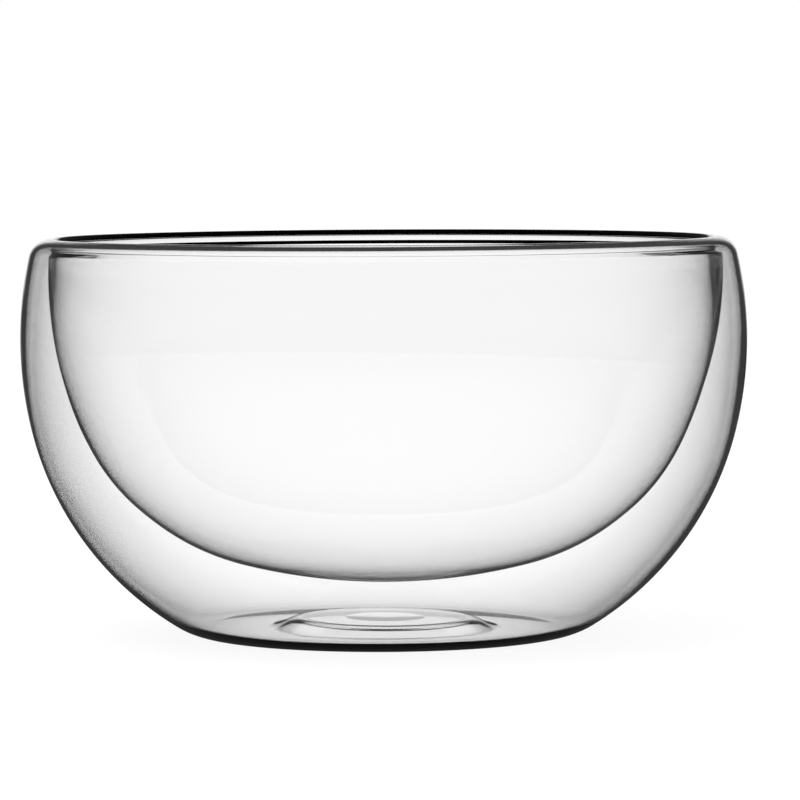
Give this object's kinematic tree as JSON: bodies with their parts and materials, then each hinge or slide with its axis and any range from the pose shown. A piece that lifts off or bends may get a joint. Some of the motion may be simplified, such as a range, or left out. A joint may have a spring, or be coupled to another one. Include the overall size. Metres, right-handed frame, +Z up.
{
  "type": "double-walled glass bowl",
  "caption": "Small round bowl of clear blown glass, double-walled with a sealed air gap, a rounded folded rim welded to the inner shell and a flat foot with a shallow punt.",
  "frame": {"origin": "centre of the foot, in the plane that the bowl stands on", "axes": "+Z up along the axis the bowl is blown and turned about, out of the mouth; the bowl is round, so +X and +Y are free"},
  "size_m": [0.13, 0.13, 0.0712],
  "materials": {
    "glass": "clear and glossy, fire-polished at the rim"
  },
  "bodies": {
    "root": {"bowl": "glass"}
  },
  "joints": []
}
